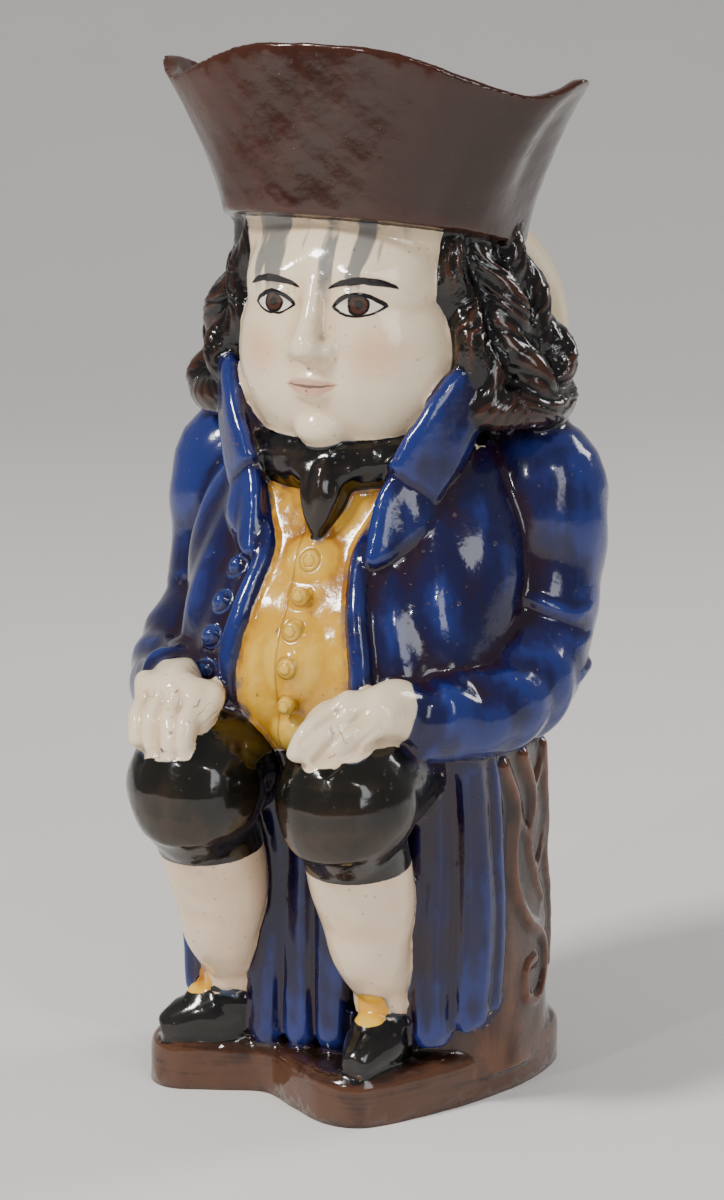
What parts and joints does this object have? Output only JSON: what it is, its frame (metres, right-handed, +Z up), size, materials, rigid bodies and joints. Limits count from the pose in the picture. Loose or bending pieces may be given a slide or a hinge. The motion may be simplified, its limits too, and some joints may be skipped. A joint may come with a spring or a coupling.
{
  "type": "seated figure toby jug",
  "caption": "Hollow glazed jug in the form of a seated man in a cocked hat, open at the hat, with a strap handle behind.",
  "frame": {"origin": "on the flat underside, on the jug's upright axis between its two sides", "axes": "+Z up, -Y the way the figure faces, +X towards the figure's own left hand"},
  "size_m": [0.1149, 0.1801, 0.252],
  "materials": {
    "glazed_body": "glossy hand-painted lead glaze in several colours"
  },
  "bodies": {
    "root": {"toby_jug": "glazed_body"}
  },
  "joints": []
}
